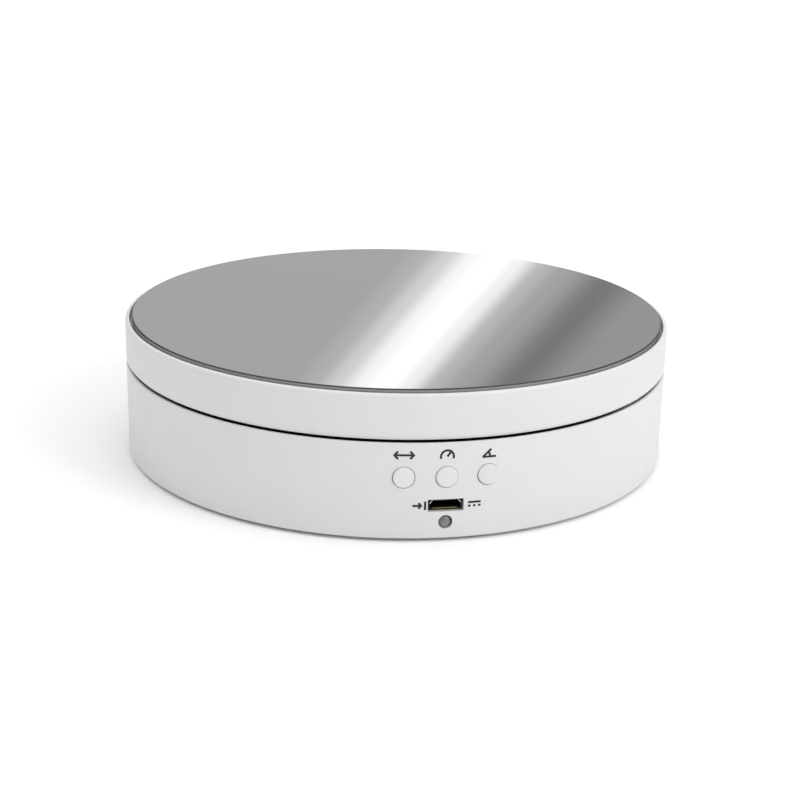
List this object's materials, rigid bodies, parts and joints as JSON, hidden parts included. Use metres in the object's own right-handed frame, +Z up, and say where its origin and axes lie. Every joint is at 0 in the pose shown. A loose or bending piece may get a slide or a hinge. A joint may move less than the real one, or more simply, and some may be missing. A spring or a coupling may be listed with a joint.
{
  "type": "turntable display stand",
  "caption": "Low round motorised turntable with a mirror-topped platter over a drum base that carries push buttons, a micro-USB power inlet and an indicator lens.",
  "frame": {"origin": "on the ground under the spindle, at the bottom centre of the stand", "axes": "+Z up along the platter's axis, the button panel faces -Y, +X to the right as the panel is faced"},
  "size_m": [0.138, 0.1383, 0.035],
  "materials": {
    "white_abs": "moulded white ABS with a very fine spark-eroded texture",
    "button_abs": "moulded white ABS, slightly smoother than the case",
    "silver_mirror": "silvered float glass with a ground and polished edge",
    "foam_tape": "double-sided foam tape",
    "black_felt": "needled black felt",
    "black_rubber": "die-cut rubber, matte",
    "hard_steel": "ground and polished bearing steel",
    "zinc_screws": "zinc-plated steel",
    "zinc_sheet": "pressed zinc-plated sheet steel",
    "natural_acetal": "natural moulded acetal",
    "bush_brass": "turned sintered brass",
    "black_plastic": "black moulded nylon",
    "connector_nylon": "natural moulded nylon",
    "wire_sleeve": "PVC insulated wires, laced",
    "blue_nylon": "blue moulded nylon",
    "green_laminate": "glass-epoxy laminate under green solder mask",
    "capacitor_can": "drawn aluminium can",
    "socket_steel": "nickel-plated sheet steel",
    "diffused_epoxy": "diffused grey-white cast epoxy"
  },
  "bodies": {
    "base": {"base_shell": "white_abs", "dust_seal": "black_felt", "bottom_cover": "white_abs", "rubber_foot_1": "black_rubber", "rubber_foot_2": "black_rubber", "rubber_foot_3": "black_rubber", "rubber_foot_4": "black_rubber", "cover_screw_1": "zinc_screws", "cover_screw_2": "zinc_screws", "cover_screw_3": "zinc_screws", "cover_screw_4": "zinc_screws", "centre_spindle": "hard_steel", "spindle_washer": "hard_steel", "spindle_screw": "zinc_screws", "lower_race": "hard_steel", "motor_can": "zinc_sheet", "motor_flange": "zinc_sheet", "motor_screw_left": "zinc_screws", "motor_screw_right": "zinc_screws", "motor_terminal_cover": "blue_nylon", "motor_lead": "wire_sleeve", "control_board": "green_laminate", "board_screw_left": "zinc_screws", "board_screw_right": "zinc_screws", "controller_chip": "black_plastic", "driver_chip": "black_plastic", "motor_connector": "connector_nylon", "filter_capacitor": "capacitor_can", "usb_shell": "socket_steel", "usb_tongue": "black_plastic", "status_led": "diffused_epoxy", "switch_housing_left": "black_plastic", "switch_housing_middle": "black_plastic", "switch_housing_right": "black_plastic"},
    "platter": {"turntable_cap": "white_abs", "mirror_disc": "silver_mirror", "mirror_pad": "foam_tape", "hub_bush": "bush_brass", "platter_gear": "natural_acetal", "gear_screw_1": "zinc_screws", "gear_screw_2": "zinc_screws", "gear_screw_3": "zinc_screws", "upper_race": "hard_steel"},
    "ball_ring": {"ball_cage": "black_plastic", "bearing_ball_1": "hard_steel", "bearing_ball_2": "hard_steel", "bearing_ball_3": "hard_steel", "bearing_ball_4": "hard_steel", "bearing_ball_5": "hard_steel", "bearing_ball_6": "hard_steel", "bearing_ball_7": "hard_steel", "bearing_ball_8": "hard_steel"},
    "pinion": {"drive_pinion": "natural_acetal", "motor_shaft": "hard_steel"},
    "left_button": {"button_left": "button_abs", "switch_stem_left": "black_plastic"},
    "middle_button": {"button_middle": "button_abs", "switch_stem_middle": "black_plastic"},
    "right_button": {"button_right": "button_abs", "switch_stem_right": "black_plastic"}
  },
  "joints": [
    {"name": "platter_spin", "type": "hinge", "parent": "base", "child": "platter", "pos_m": [0, 0, 0.024], "axis": [0, 0, 1], "continuous": true},
    {"name": "ball_ring_spin", "type": "hinge", "parent": "base", "child": "ball_ring", "pos_m": [0, 0, 0.0254], "axis": [0, 0, 1], "continuous": true},
    {"name": "pinion_spin", "type": "hinge", "parent": "base", "child": "pinion", "pos_m": [0, 0.0288, 0.027], "axis": [0, 0, 1], "continuous": true},
    {"name": "left_button_press", "type": "slide", "parent": "base", "child": "left_button", "axis": [0, 1, 0], "range_m": [0, 0.0003], "stiffness_N_per_m": 3000},
    {"name": "middle_button_press", "type": "slide", "parent": "base", "child": "middle_button", "axis": [0, 1, 0], "range_m": [0, 0.0003], "stiffness_N_per_m": 3000},
    {"name": "right_button_press", "type": "slide", "parent": "base", "child": "right_button", "axis": [0, 1, 0], "range_m": [0, 0.0003], "stiffness_N_per_m": 3000}
  ],
  "couplings": [
    {"joint": "pinion_spin", "follows": "platter_spin", "ratio": -3},
    {"joint": "ball_ring_spin", "follows": "platter_spin", "ratio": 0.5}
  ]
}
